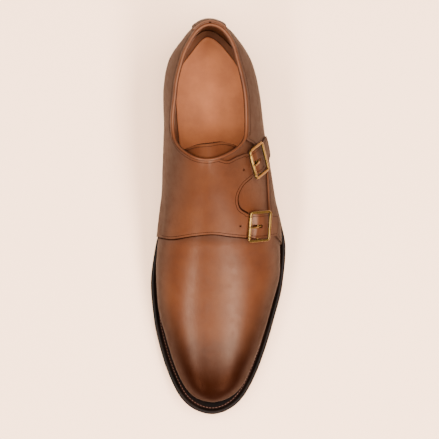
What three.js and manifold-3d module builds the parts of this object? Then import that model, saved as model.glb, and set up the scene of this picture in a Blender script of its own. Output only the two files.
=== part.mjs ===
// Double monk strap shoe, left foot, built on its last.
// Millimetres, +Z up, toe towards -Y, lateral side towards +X, standing on z = 0.
import * as THREE from 'three';
import { mergeVertices } from 'three/addons/utils/BufferGeometryUtils.js';
import Module from 'manifold-3d';

const wasm = await Module();
wasm.setup();

// ---------------------------------------------------------------- driving dimensions
const GAP = 0.3;                // clearance between neighbouring pieces
const WALL = 1.8;               // vamp leather and lining of the base upper
const QUARTER = 1.3;            // leather of the quarters and of the flap
const BACK_STAY = 1.1;          // leather of the strip over the back seam
const BACK_STAY_WIDTH = 21;
const STAY_FRONT = 120;         // the strip lies behind this y
const TONGUE = 2.2;             // lined leather tongue
const TONGUE_LOW = 48;          // nothing of the tongue lies below this height
const OUTSOLE = 5;              // outsole substance
const WELT = 2.7;               // welt substance
const INSOLE = 5.2;             // insole with its filler
const HEEL_LIFT_PIECE = 6;      // rubber top piece under the heel
const HEEL_BREAST = 77;         // y of the front face of the heel
const BREAST_TOP = 40;          // height to which the breast is cut
const BREAST_LEAN = 2;          // how far the breast leans back towards the floor
const HEEL_TAPER = 2.2;         // how far the heel draws in from top to bottom
const HEEL_LEAN = 9;            // curve of the heel back, per 50 mm of height squared
const HEEL_WIDEST = 54;         // height of the rearmost point of the heel curve
const OPENING_TOP = 150;        // height above anything that is cut away
const FAR_SIDE = 80;            // beyond the shoe to either side
const FAR_HEEL = 175;           // beyond the heel end

const STATIONS = 38;            // sections along the length
const WALL_STEPS = 9;           // facets from the widest line to the ridge
const TUCK_STEPS = 2;           // facets from the foot line to the widest line
const WIDEST_AT = 0.8;          // share of a section's half that lies above the widest line

// The last: one row for each section, heel to toe.
// foot = edge where the upper meets the welt, wide = widest line, ridge = top of the cone.
const LAST_COLUMNS = [
  'y', 'footMed', 'footLat', 'wideMed', 'wideLat', 'wideZ', 'ridgeX', 'ridgeZ', 'fullMed', 'fullLat',
];
const LAST = named(LAST_COLUMNS, [
  [150.0, -9.4, -9.4, -9.4, -9.4, 52, -9.4, 110, 3.2, 3.2],
  [137.0, -25.8, 10.2, -27.6, 11.8, 48, -10.0, 110, 2.1, 2.0],
  [120.0, -36.0, 21.2, -38.6, 23.4, 44, -11.0, 110, 1.66, 1.54],
  [97.0, -39.6, 27.2, -42.3, 29.3, 40, -12.5, 110, 1.72, 1.58],
  [70.0, -36.8, 30.4, -41.7, 32.8, 38, -12.5, 110, 2.1, 1.5],
  [44.0, -34.6, 34.4, -42.4, 37.2, 38, -11.5, 100.5, 2.0, 1.55],
  [18.0, -37.0, 38.6, -43.8, 41.6, 33, -10.5, 84, 2.0, 1.78],
  [-10.0, -43.4, 45.0, -46.8, 47.0, 26, -9.5, 68.5, 2.05, 2.05],
  [-38.0, -47.2, 46.2, -48.9, 47.9, 21, -8.5, 56, 2.15, 2.15],
  [-66.0, -46.0, 40.2, -47.4, 41.7, 19.5, -7.5, 47.5, 2.25, 2.25],
  [-92.0, -39.8, 32.8, -41.0, 34.1, 19.5, -6.5, 42.5, 2.3, 2.3],
  [-114.0, -33.0, 24.8, -34.1, 25.8, 20, -5.5, 39, 2.35, 2.35],
  [-130.0, -25.4, 16.6, -26.3, 17.6, 21, -5.0, 35.5, 2.35, 2.35],
  [-138.2, -17.4, 7.4, -18.1, 8.1, 21.5, -5.0, 31.5, 2.35, 2.35],
  [-141.4, -5.0, -5.0, -5.0, -5.0, 22, -5.0, 27, 2.35, 2.35],
]);

// The sole: outline, and the height of its underside above the floor.
const SOLE = named(['y', 'med', 'lat', 'under'], [
  [149.5, -9.4, -9.4, 25.6],
  [137.0, -27.6, 12.0, 25.4],
  [120.0, -37.6, 23.0, 25.0],
  [97.0, -41.4, 29.2, 24.0],
  [76.0, -39.4, 32.0, 22.2],
  [50.0, -36.2, 36.2, 16.4],
  [25.0, -38.0, 42.4, 9.0],
  [0.0, -44.0, 49.2, 2.8],
  [-22.0, -49.6, 53.4, 0.0],
  [-50.0, -52.9, 51.0, 0.0],
  [-78.0, -50.5, 44.2, 0.0],
  [-103.0, -45.0, 36.6, 1.5],
  [-125.0, -37.2, 27.6, 4.4],
  [-141.0, -27.9, 17.4, 7.0],
  [-151.9, -5.0, -5.0, 9.0],
]);

// Top line of the upper seen from the side, heel to throat.
const TOP_LINE = named(['y', 'z'], [
  [165, 91], [150, 90.5], [138, 88.5], [120, 84.5], [97, 80.5], [76, 78.8], [62, 81.5], [54, 88.5],
  [49, 94.5],
  [43.5, 101], [40, 106], [30, 120],
]);

// ---------------------------------------------------------------- tables and curves
function named(columns, rows) {
  return rows.map((row) => Object.fromEntries(columns.map((column, i) => [column, row[i]])));
}

function spanOf(table) {
  const first = table[0].y;
  const last = table[table.length - 1].y;
  return { mid: (first + last) / 2, half: (first - last) / 2 };
}

// 0 at the heel end and PI at the toe end, so that outlines close round.
function angleAt(span, y) {
  return Math.acos(THREE.MathUtils.clamp((y - span.mid) / span.half, -1, 1));
}

// Cubic through the rows that never overshoots them.
function smooth(xs, ys) {
  const last = xs.length - 1;
  const slopes = xs.slice(1).map((x, i) => (ys[i + 1] - ys[i]) / (x - xs[i]));
  const tangents = xs.map((x, i) => {
    const before = slopes[Math.max(i - 1, 0)];
    const after = slopes[Math.min(i, last - 1)];
    return before * after <= 0 ? 0 : (2 * before * after) / (before + after);
  });
  return (x) => {
    let i = 0;
    while (i < last - 1 && x > xs[i + 1]) i += 1;
    const step = xs[i + 1] - xs[i];
    const s = THREE.MathUtils.clamp((x - xs[i]) / step, 0, 1);
    const rise = ys[i + 1] - ys[i];
    const a = tangents[i] * step;
    const b = tangents[i + 1] * step;
    return ys[i] + s * (a + s * (3 * rise - 2 * a - b + s * (a + b - 2 * rise)));
  };
}

function columnsOf(table, span) {
  const angles = table.map((row) => angleAt(span, row.y));
  const curves = {};
  for (const column of Object.keys(table[0])) {
    curves[column] = smooth(angles, table.map((row) => row[column]));
  }
  return curves;
}

const lastSpan = spanOf(LAST);
const lastAt = columnsOf(LAST, lastSpan);
const soleSpan = spanOf(SOLE);
const soleAt = columnsOf(SOLE, soleSpan);

const underSole = (y) => soleAt.under(angleAt(soleSpan, y));
const footLine = (y) => underSole(y) + OUTSOLE + GAP + WELT + GAP;

// ---------------------------------------------------------------- surface of the last
// side runs from -1 (medial foot line) over 0 (ridge) to 1 (lateral foot line).
function lastPoint(angle, side) {
  const reach = Math.abs(side);
  const lateral = side > 0;
  const y = lastSpan.mid + lastSpan.half * Math.cos(angle);
  const wideX = lateral ? lastAt.wideLat(angle) : lastAt.wideMed(angle);
  const wideZ = lastAt.wideZ(angle);
  const ridgeX = lastAt.ridgeX(angle);
  const point = new THREE.Vector3();
  if (reach <= WIDEST_AT) {
    const full = lateral ? lastAt.fullLat(angle) : lastAt.fullMed(angle);
    const turn = (Math.PI / 2) * (reach / WIDEST_AT);
    point.x = ridgeX + (wideX - ridgeX) * Math.sin(turn) ** (2 / full);
    point.z = wideZ + (lastAt.ridgeZ(angle) - wideZ) * Math.max(Math.cos(turn), 0) ** (2 / full);
  } else {
    const tuck = (reach - WIDEST_AT) / (1 - WIDEST_AT);
    const footX = lateral ? lastAt.footLat(angle) : lastAt.footMed(angle);
    point.x = wideX + (footX - wideX) * tuck * tuck;
    point.z = wideZ + (footLine(y) - wideZ) * tuck;
  }
  const rear = THREE.MathUtils.smoothstep(y, 60, 150);
  const above = (point.z - HEEL_WIDEST) / 50;
  point.y = y - HEEL_LEAN * above * above * rear;
  return point;
}

// The same surface moved outwards by an offset along its own normal.
function shellPoint(angle, side, offset) {
  const atEnd = angle < 1e-6 || angle > Math.PI - 1e-6;
  const across = atEnd ? Math.abs(side) : side;
  const point = lastPoint(angle, across);
  if (offset === 0) return point;
  const step = 0.01;
  const a = THREE.MathUtils.clamp(angle, 0.04, Math.PI - 0.04);
  const s = THREE.MathUtils.clamp(across, -1 + step, 1 - step);
  const along = lastPoint(a + step, s).sub(lastPoint(a - step, s));
  const over = lastPoint(a, s + step).sub(lastPoint(a, s - step));
  const normal = along.cross(over).normalize();
  if (atEnd) normal.setX(0).normalize();
  point.addScaledVector(normal, offset);
  if (Math.abs(side) === 1) point.setZ(footLine(point.y));
  return point;
}

// ---------------------------------------------------------------- solids
function solidOf(geometry) {
  geometry.deleteAttribute('normal');
  geometry.deleteAttribute('uv');
  const merged = mergeVertices(geometry, 1e-4);
  const index = merged.index.array;
  const triangles = [];
  for (let i = 0; i < index.length; i += 3) {
    const [a, b, c] = [index[i], index[i + 1], index[i + 2]];
    if (a !== b && b !== c && c !== a) triangles.push(a, b, c);
  }
  return new wasm.Manifold(new wasm.Mesh({
    numProp: 3,
    vertProperties: new Float32Array(merged.attributes.position.array),
    triVerts: new Uint32Array(triangles),
  }));
}

// Rings of points, one for each station, joined into a closed skin.
function skinOf(rings) {
  const size = rings[0].length;
  const positions = rings.flatMap((ring) => ring.flatMap((p) => [p.x, p.y, p.z]));
  const index = [];
  for (let i = 0; i + 1 < rings.length; i += 1) {
    for (let j = 0; j < size; j += 1) {
      const a = i * size + j;
      const b = i * size + ((j + 1) % size);
      const c = a + size;
      const d = b + size;
      index.push(a, d, b, a, c, d);
    }
  }
  const geometry = new THREE.BufferGeometry();
  geometry.setAttribute('position', new THREE.Float32BufferAttribute(positions, 3));
  geometry.setIndex(index);
  return solidOf(geometry);
}

function sideSteps() {
  const steps = [];
  for (let i = 0; i < TUCK_STEPS; i += 1) steps.push(1 - ((1 - WIDEST_AT) * i) / TUCK_STEPS);
  for (let i = 0; i <= WALL_STEPS; i += 1) steps.push(WIDEST_AT * (1 - i / WALL_STEPS));
  return steps;
}

// The whole form of the last, grown by an offset; drop carries its foot further down.
function form(offset, drop) {
  const half = sideSteps();
  const sides = [...half.map((s) => -s), ...half.slice(0, -1).reverse()];
  const rings = [];
  for (let i = 0; i <= STATIONS; i += 1) {
    const angle = (Math.PI * i) / STATIONS;
    const ring = sides.map((side) => shellPoint(angle, side, offset));
    if (drop > 0) {
      const down = new THREE.Vector3(0, 0, -drop);
      ring.unshift(ring[0].clone().add(down));
      ring.push(ring[ring.length - 1].clone().add(down));
    }
    rings.push(ring);
  }
  return skinOf(rings);
}

function shell(inside, outside) {
  return form(outside, 0).subtract(form(inside, 8));
}

// A plate between two heights, with its own outline at the bottom and at the top.
function plate(edgeLow, edgeHigh, zLow, zHigh, columns = 3) {
  const rings = [];
  for (let i = 0; i <= STATIONS; i += 1) {
    const angle = (Math.PI * i) / STATIONS;
    const row = (edge, height) => {
      const [med, lat] = edge(angle);
      return Array.from({ length: columns + 1 }, (_, k) => {
        const p = med.clone().lerp(lat, k / columns);
        return p.setZ(height(p.y));
      });
    };
    rings.push([...row(edgeHigh, zHigh), ...row(edgeLow, zLow).reverse()]);
  }
  return skinOf(rings);
}

function soleEdge(inset) {
  return (angle) => {
    const at = (a) => [
      new THREE.Vector3(soleAt.med(a), soleSpan.mid + soleSpan.half * Math.cos(a), 0),
      new THREE.Vector3(soleAt.lat(a), soleSpan.mid + soleSpan.half * Math.cos(a), 0),
    ];
    const here = at(angle);
    if (inset === 0) return here;
    const a = THREE.MathUtils.clamp(angle, 0.04, Math.PI - 0.04);
    const before = at(a - 0.02);
    const after = at(a + 0.02);
    const atEnd = a !== angle;
    return here.map((p, k) => {
      const along = after[k].clone().sub(before[k]).normalize();
      const inward = new THREE.Vector3(-along.y, along.x, 0).multiplyScalar(k === 0 ? 1 : -1);
      if (atEnd) inward.set(0, angle < 1 ? -1 : 1, 0);
      return p.addScaledVector(inward, inset);
    });
  };
}

function insoleEdge(offset) {
  return (angle) => [-1, 1].map((side) => shellPoint(angle, side, offset));
}

function prismAlongZ(shape, low, high) {
  const options = { depth: high - low, bevelEnabled: false, curveSegments: 3 };
  const geometry = new THREE.ExtrudeGeometry(shape, options);
  geometry.translate(0, 0, low);
  return solidOf(geometry);
}

// A shape drawn as (y, z) and carried along X.
function prismAlongX(shape, low, high) {
  const geometry = new THREE.ExtrudeGeometry(shape, { depth: high - low, bevelEnabled: false });
  geometry.translate(0, 0, low);
  const axes = new THREE.Matrix4().makeBasis(
    new THREE.Vector3(0, 1, 0),
    new THREE.Vector3(0, 0, 1),
    new THREE.Vector3(1, 0, 0),
  );
  geometry.applyMatrix4(axes);
  return solidOf(geometry);
}

function openingAbove(table) {
  const points = table.map((row) => new THREE.Vector3(row.y, row.z, 0));
  const curve = new THREE.CatmullRomCurve3(points, false, 'centripetal');
  const shape = new THREE.Shape();
  curve.getPoints(26).forEach((p, i) => (i === 0 ? shape.moveTo(p.x, p.y) : shape.lineTo(p.x, p.y)));
  shape.lineTo(table[table.length - 1].y, OPENING_TOP);
  shape.lineTo(table[0].y, OPENING_TOP);
  shape.closePath();
  return prismAlongX(shape, -FAR_SIDE, FAR_SIDE);
}

// ---------------------------------------------------------------- materials
const leather = { color: 0x8a4a26, roughness: 0.38, metalness: 0 };
const darkLeather = { color: 0x3a2118, roughness: 0.5, metalness: 0 };
const lining = { color: 0xa87850, roughness: 0.7, metalness: 0 };
const rubber = { color: 0x1c1a19, roughness: 0.85, metalness: 0 };
const brass = { color: 0xb08d57, roughness: 0.35, metalness: 1 };

const shoe = new THREE.Group();

function geometryOf(solid) {
  const mesh = solid.getMesh();
  const geometry = new THREE.BufferGeometry();
  geometry.setAttribute('position', new THREE.Float32BufferAttribute(mesh.vertProperties, 3));
  geometry.setIndex(new THREE.Uint32BufferAttribute(mesh.triVerts, 1));
  return geometry;
}

function addPart(name, solid, look) {
  const geometry = geometryOf(solid);
  geometry.computeVertexNormals();
  const part = new THREE.Mesh(geometry, new THREE.MeshStandardMaterial(look));
  part.name = name;
  shoe.add(part);
}

// ---------------------------------------------------------------- the bottom of the shoe
const soleTop = (y) => underSole(y) + OUTSOLE;
const weltLow = (y) => soleTop(y) + GAP;
const weltTop = (y) => weltLow(y) + WELT;
const heelBottom = () => 0;
const heelJoint = () => HEEL_LIFT_PIECE;

function heelBlock(low, high, insetLow, insetHigh) {
  const block = plate(soleEdge(insetLow), soleEdge(insetHigh), low, high);
  const front = new THREE.Shape();
  front.moveTo(HEEL_BREAST, BREAST_TOP);
  front.lineTo(HEEL_BREAST + BREAST_LEAN, -1);
  front.lineTo(-FAR_HEEL, -1);
  front.lineTo(-FAR_HEEL, BREAST_TOP);
  front.closePath();
  return block.subtract(prismAlongX(front, -FAR_SIDE, FAR_SIDE));
}

addPart('outsole', plate(soleEdge(0), soleEdge(0), underSole, soleTop), darkLeather);
const insoleRoom = plate(insoleEdge(-WALL), insoleEdge(-WALL), () => -OPENING_TOP, () => OPENING_TOP);
addPart('welt', plate(soleEdge(0), soleEdge(0), weltLow, weltTop).subtract(insoleRoom), darkLeather);
addPart('insole', plate(
  insoleEdge(-WALL - GAP),
  insoleEdge(-WALL - GAP),
  weltLow,
  (y) => weltLow(y) + INSOLE,
), lining);
const taperAtJoint = 1 + HEEL_TAPER * 0.75;
addPart('heel_stack', heelBlock(
  () => HEEL_LIFT_PIECE + GAP,
  (y) => underSole(y) - GAP,
  taperAtJoint,
  1,
), darkLeather);
addPart('heel_top_piece', heelBlock(heelBottom, heelJoint, 1 + HEEL_TAPER, taperAtJoint), rubber);

// ---------------------------------------------------------------- the upper
const opening = openingAbove(TOP_LINE);
addPart('upper', shell(-WALL, 0).subtract(opening), leather);

// Tongue: follows the inside of the upper and stands out of the throat.
function tongueShape() {
  const shape = new THREE.Shape();
  shape.moveTo(-33, 12);
  shape.lineTo(15, 12);
  shape.lineTo(15, 50);
  shape.splineThru([
    new THREE.Vector2(11, 55.5),
    new THREE.Vector2(1, 57),
    new THREE.Vector2(-10, 55),
    new THREE.Vector2(-23, 54),
    new THREE.Vector2(-33, 51),
  ]);
  shape.closePath();
  return shape;
}
const tongueOut = -WALL - GAP;
const tongueRoom = prismAlongZ(tongueShape(), TONGUE_LOW, OPENING_TOP);
addPart('tongue', shell(tongueOut - TONGUE, tongueOut).intersect(tongueRoom), leather);

// ---------------------------------------------------------------- quarters
const overlayIn = GAP;
const overlayOut = GAP + QUARTER;
const SEAM_X = LAST[0].ridgeX;

const vectors = (points) => points.map(([x, y]) => new THREE.Vector2(x, y));

function outline(points) {
  const shape = new THREE.Shape();
  points.forEach(([x, y], i) => (i === 0 ? shape.moveTo(x, y) : shape.lineTo(x, y)));
  shape.closePath();
  return shape;
}

// Inner quarter and flap seen from above: front edge, two strap roots with the notch
// between them, edge under the throat, then back along the heel seam.
function medialQuarterShape() {
  const shape = new THREE.Shape();
  shape.moveTo(-75, -13);
  shape.lineTo(-46, -13);
  shape.splineThru(vectors([[-36, -14], [-22, -11.5], [-7, -10], [6, -11.5], [19, -12.8]]));
  shape.lineTo(19, 5);
  shape.splineThru(vectors([[13.5, 8.5], [11.3, 14], [11.8, 20], [15.5, 27], [22, 32.5]]));
  shape.lineTo(17.5, 50);
  shape.splineThru(vectors([[10, 47], [3, 43.8], [-3, 45]]));
  shape.lineTo(SEAM_X - GAP, 70);
  shape.lineTo(SEAM_X - GAP, FAR_HEEL);
  shape.lineTo(-75, FAR_HEEL);
  shape.closePath();
  return shape;
}

// Outer quarter seen from the side, as (y, z).
function lateralQuarterShape() {
  return outline([
    [63, 100], [58, 75], [51, 59], [41, 52], [9, 53], [-8, 49],
    [-15, 38], [-19, 22], [-20, 0], [FAR_HEEL, 0], [FAR_HEEL, 100],
  ]);
}

const overlay = shell(overlayIn, overlayOut);
const lateralHalf = prismAlongX(lateralQuarterShape(), SEAM_X + GAP, FAR_SIDE);
const lateralQuarter = overlay.intersect(lateralHalf).subtract(opening);

// ---------------------------------------------------------------- straps and buckles
const STRAP_WIDTH = 18;
const STRAP_TIP_WIDTH = 15.5;
const TAPER_FROM = 6;           // the taper starts this far past the buckle
const STRAP = 1.2;              // strap substance
const STRAP_ROOT = 0.35;        // lift of the strap where it leaves the flap
const FRAME_LONG = 20;          // buckle frame along the strap
const FRAME_WIDE = 24.4;        // buckle frame across the strap
const FRAME_BAR = 2.2;
const WINDOW_CORNER = 0.9;      // inner corner radius of the frame
const FRAME_THICK = 2;
const CENTRE_BAR = 1.8;
const ROLLER_LONG = 15.2;
const ROLLER_RADIUS = 1.3;
const ROLLER_BORE = 0.9;
const ROD_RADIUS = 0.6;
const PRONG = 1.5;
const SLOT_FROM = -5.9;         // ends of the prong's slot from the centre bar
const SLOT_TO = 2.5;
const SLOT_PLAY = 0.5;
const BAR_AT = FRAME_LONG / 2 - FRAME_BAR / 2;

// Root and tip of each strap on the last, as station y and share of the lateral half,
// with the distance from root to buckle centre.
const STRAPS = named(['name', 'rootY', 'rootSide', 'tipY', 'tipSide', 'buckleAt'], [
  ['lower', -3.9, 0.2, -3.7, 0.6, 17.5],
  ['upper', 36.5, 0.31, 57.5, 0.72, 19.5],
]);

const STRAP_STEPS = 16;

// A strap's middle line on the last, with its normal and the direction across it.
function strapAxis(row) {
  const at = (t) => {
    const y = THREE.MathUtils.lerp(row.rootY, row.tipY, t);
    const side = THREE.MathUtils.lerp(row.rootSide, row.tipSide, t);
    return { angle: angleAt(lastSpan, y), side };
  };
  const stops = [];
  let length = 0;
  for (let i = 0; i <= STRAP_STEPS * 4; i += 1) {
    const t = i / (STRAP_STEPS * 4);
    const { angle, side } = at(t);
    const base = shellPoint(angle, side, 0);
    const normal = shellPoint(angle, side, 1).sub(base);
    if (i > 0) length += base.distanceTo(stops[i - 1].base);
    stops.push({ base, normal, length });
  }
  stops.forEach((stop, i) => {
    const before = stops[Math.max(i - 1, 0)].base;
    const after = stops[Math.min(i + 1, stops.length - 1)].base;
    stop.across = stop.normal.clone().cross(after.clone().sub(before)).normalize();
  });
  const atLength = (d) => stops.reduce((a, b) => (Math.abs(b.length - d) < Math.abs(a.length - d) ? b : a));
  return { length, atLength };
}

// Lift of the strap's underside: flat on the flap, over the centre bar, then on the quarter.
function strapLift(fromBuckle) {
  const overBar = GAP + CENTRE_BAR + GAP + 0.2;
  const onQuarter = overlayOut + 0.4;
  const s = Math.abs(fromBuckle) / BAR_AT;
  const outer = fromBuckle < 0 ? STRAP_ROOT : onQuarter;
  return THREE.MathUtils.lerp(overBar, outer, THREE.MathUtils.smoothstep(s, 0.12, 0.95));
}

function strapSolid(row, axis) {
  const rings = [];
  for (let i = 0; i <= STRAP_STEPS; i += 1) {
    const d = (axis.length * i) / STRAP_STEPS;
    const stop = axis.atLength(d);
    const taper = THREE.MathUtils.smoothstep(d, row.buckleAt + TAPER_FROM, axis.length);
    const half = THREE.MathUtils.lerp(STRAP_WIDTH, STRAP_TIP_WIDTH, taper) / 2;
    const low = strapLift(d - row.buckleAt);
    const high = low + STRAP;
    const section = [[-1, low], [-1, high], [0, high], [1, high], [1, low]];
    rings.push(section.map(([side, lift]) => {
      const corner = stop.base.clone();
      corner.addScaledVector(stop.across, side * half);
      return corner.addScaledVector(stop.normal, lift);
    }));
  }
  const closing = (ring) => {
    const centre = ring.reduce((sum, p) => sum.add(p), new THREE.Vector3()).divideScalar(ring.length);
    return ring.map(() => centre.clone());
  };
  rings.unshift(closing(rings[0]));
  rings.push(closing(rings[rings.length - 1]));
  return skinOf(rings);
}

// The buckle's own axes: X along the strap, Y across it, Z away from the shoe,
// with z = 0 on the line between the strap's top at the two outer bars.
function buckleSeat(row, axis) {
  const top = (e) => {
    const stop = axis.atLength(row.buckleAt + e);
    return stop.base.clone().addScaledVector(stop.normal, strapLift(e) + STRAP);
  };
  const near = top(-BAR_AT);
  const far = top(BAR_AT);
  const centre = axis.atLength(row.buckleAt);
  const x = far.clone().sub(near).normalize();
  const z = x.clone().cross(centre.across).normalize();
  const y = z.clone().cross(x);
  const origin = near.clone().add(far).multiplyScalar(0.5);
  const floor = centre.base.clone().sub(origin).dot(z);
  return { origin, floor, matrix: new THREE.Matrix4().makeBasis(x, y, z).setPosition(origin) };
}

const FRAME_LOW = 1.25;
const FRAME_MID = FRAME_LOW + FRAME_THICK / 2;
const PRONG_LOW = FRAME_MID + ROLLER_RADIUS + GAP;

function roundedRectangle(target, long, wide, radius) {
  const x = long / 2;
  const y = wide / 2;
  target.moveTo(x, y - radius);
  target.absarc(x - radius, y - radius, radius, 0, Math.PI / 2);
  target.absarc(-x + radius, y - radius, radius, Math.PI / 2, Math.PI);
  target.absarc(-x + radius, -y + radius, radius, Math.PI, 1.5 * Math.PI);
  target.absarc(x - radius, -y + radius, radius, 1.5 * Math.PI, 2 * Math.PI);
  target.closePath();
  return target;
}

function box(x0, x1, y0, y1, z0, z1) {
  const geometry = new THREE.BoxGeometry(x1 - x0, y1 - y0, z1 - z0);
  geometry.translate((x0 + x1) / 2, (y0 + y1) / 2, (z0 + z1) / 2);
  return solidOf(geometry);
}

function frameSolid(floor) {
  const shape = roundedRectangle(new THREE.Shape(), FRAME_LONG, FRAME_WIDE, FRAME_BAR);
  const windowLong = FRAME_LONG - 2 * FRAME_BAR;
  const windowWide = FRAME_WIDE - 2 * FRAME_BAR;
  shape.holes.push(roundedRectangle(new THREE.Path(), windowLong, windowWide, WINDOW_CORNER));
  const ring = prismAlongZ(shape, FRAME_LOW, FRAME_LOW + FRAME_THICK);
  const rollerSpan = ROLLER_LONG / 2 + GAP;
  const rod = new THREE.CylinderGeometry(ROD_RADIUS, ROD_RADIUS, rollerSpan * 2 + 1, 8);
  rod.translate(-BAR_AT, 0, FRAME_MID);
  const barLow = floor + GAP + 0.05;
  const inner = FRAME_WIDE / 2 - FRAME_BAR;
  const outer = FRAME_WIDE / 2;
  const halfBar = CENTRE_BAR / 2;
  return ring
    .subtract(box(-FRAME_LONG, -BAR_AT + FRAME_BAR, -rollerSpan, rollerSpan, -5, 8))
    .add(solidOf(rod))
    .add(box(-halfBar, halfBar, -outer + 0.4, outer - 0.4, barLow, barLow + CENTRE_BAR))
    .add(box(-halfBar, halfBar, inner + 0.3, outer - 0.4, barLow, FRAME_MID))
    .add(box(-halfBar, halfBar, -outer + 0.4, -inner - 0.3, barLow, FRAME_MID));
}

function rollerSolid() {
  const half = ROLLER_LONG / 2;
  const profile = [
    [ROLLER_BORE, -half], [ROLLER_RADIUS, -half], [ROLLER_RADIUS, half],
    [ROLLER_BORE, half], [ROLLER_BORE, -half],
  ].map(([r, y]) => new THREE.Vector2(r, y));
  const geometry = new THREE.LatheGeometry(profile, 10);
  geometry.translate(-BAR_AT, 0, FRAME_MID);
  return solidOf(geometry);
}

// Prong seen from its side: a hook over the centre bar and a shank that rests on the roller.
function prongSolid(floor) {
  const barMid = floor + GAP + 0.05 + CENTRE_BAR / 2;
  const inside = CENTRE_BAR / 2 * Math.SQRT2 + GAP;
  const outside = inside + 0.8;
  const shape = new THREE.Shape();
  shape.moveTo(inside, barMid);
  shape.lineTo(outside, barMid);
  shape.absarc(0, barMid, outside, 0, Math.PI / 2);
  shape.lineTo(-5.2, PRONG_LOW + PRONG);
  shape.lineTo(-BAR_AT - 1.2, PRONG_LOW + PRONG * 0.9);
  shape.lineTo(-BAR_AT - 1.9, PRONG_LOW + PRONG * 0.3);
  shape.lineTo(-BAR_AT - 1.2, PRONG_LOW);
  shape.lineTo(-5.6, PRONG_LOW);
  shape.lineTo(-inside - 0.8, barMid + 0.6);
  shape.lineTo(-inside - 0.8, barMid);
  shape.lineTo(-inside, barMid);
  shape.absarc(0, barMid, inside, Math.PI, 0, true);
  shape.closePath();
  const geometry = new THREE.ExtrudeGeometry(shape, { depth: PRONG, bevelEnabled: false, curveSegments: 5 });
  geometry.applyMatrix4(new THREE.Matrix4().makeBasis(
    new THREE.Vector3(1, 0, 0),
    new THREE.Vector3(0, 0, 1),
    new THREE.Vector3(0, -1, 0),
  ));
  geometry.translate(0, PRONG / 2, 0);
  return solidOf(geometry);
}

function prongSlot(matrix) {
  const half = PRONG / 2 + SLOT_PLAY;
  return solidOf(geometryOf(box(SLOT_FROM, SLOT_TO, -half, half, -4, 5)).applyMatrix4(matrix));
}

let medialQuarter = overlay.intersect(prismAlongZ(medialQuarterShape(), -5, OPENING_TOP)).subtract(opening);
for (const row of STRAPS) {
  const axis = strapAxis(row);
  const { floor, matrix } = buckleSeat(row, axis);
  medialQuarter = medialQuarter.add(strapSolid(row, axis).subtract(prongSlot(matrix)));
  const place = (solid) => solidOf(geometryOf(solid).applyMatrix4(matrix));
  addPart(`buckle_frame_${row.name}`, place(frameSolid(floor)), brass);
  addPart(`buckle_roller_${row.name}`, place(rollerSolid()), brass);
  addPart(`buckle_prong_${row.name}`, place(prongSolid(floor)), brass);
}
addPart('quarter_medial', medialQuarter, leather);
addPart('quarter_lateral', lateralQuarter, leather);

// Strip over the heel seam.
const stayHalf = BACK_STAY_WIDTH / 2;
const stayShape = outline([
  [SEAM_X - stayHalf, STAY_FRONT], [SEAM_X + stayHalf, STAY_FRONT],
  [SEAM_X + stayHalf, FAR_HEEL], [SEAM_X - stayHalf, FAR_HEEL],
]);
const backStay = shell(overlayOut + GAP, overlayOut + GAP + BACK_STAY)
  .intersect(prismAlongZ(stayShape, -5, OPENING_TOP))
  .subtract(opening);
addPart('back_stay', backStay, leather);

// Origin: middle of the bounding box, on the floor.
const middle = new THREE.Box3().setFromObject(shoe).getCenter(new THREE.Vector3());
shoe.position.set(-middle.x, -middle.y, 0);

export default shoe;
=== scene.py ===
# Double monk strap shoe, left foot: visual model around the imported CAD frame.
# Metres in the scene; the last and its tables are worked out in millimetres and scaled at the end.
import math

import bmesh
import bpy
import numpy as np
from mathutils import Matrix, Vector


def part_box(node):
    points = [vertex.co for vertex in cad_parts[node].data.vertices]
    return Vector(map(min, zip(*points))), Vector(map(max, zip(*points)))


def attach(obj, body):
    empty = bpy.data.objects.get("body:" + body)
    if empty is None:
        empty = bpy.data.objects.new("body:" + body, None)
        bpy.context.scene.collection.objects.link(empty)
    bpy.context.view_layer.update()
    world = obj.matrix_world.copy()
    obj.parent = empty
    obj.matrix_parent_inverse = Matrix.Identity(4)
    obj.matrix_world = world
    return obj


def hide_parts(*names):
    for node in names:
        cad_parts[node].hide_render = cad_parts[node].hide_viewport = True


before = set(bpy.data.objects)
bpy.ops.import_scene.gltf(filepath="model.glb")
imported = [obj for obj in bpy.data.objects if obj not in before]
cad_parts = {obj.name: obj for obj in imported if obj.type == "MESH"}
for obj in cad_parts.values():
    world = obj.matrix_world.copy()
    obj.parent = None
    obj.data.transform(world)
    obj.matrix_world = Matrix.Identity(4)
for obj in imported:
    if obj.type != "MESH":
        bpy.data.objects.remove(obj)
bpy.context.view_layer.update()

# --- sizes of the shoe in mm; a piece's own name is its thickness
GAP = 0.3
WALL = 1.8
QUARTER = 1.3
BACK_STAY = 1.1
BACK_STAY_WIDTH = 21
TONGUE = 2.2
OUTSOLE = 5
WELT = 2.7
INSOLE = 5.2
TOP_PIECE = 6
HEEL_BREAST = 77
HEEL_TAPER = 2.2
HEEL_LEAN = 9
HEEL_WIDEST = 54
LEAN_OVER = 50
WIDEST_AT = 0.8

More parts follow.
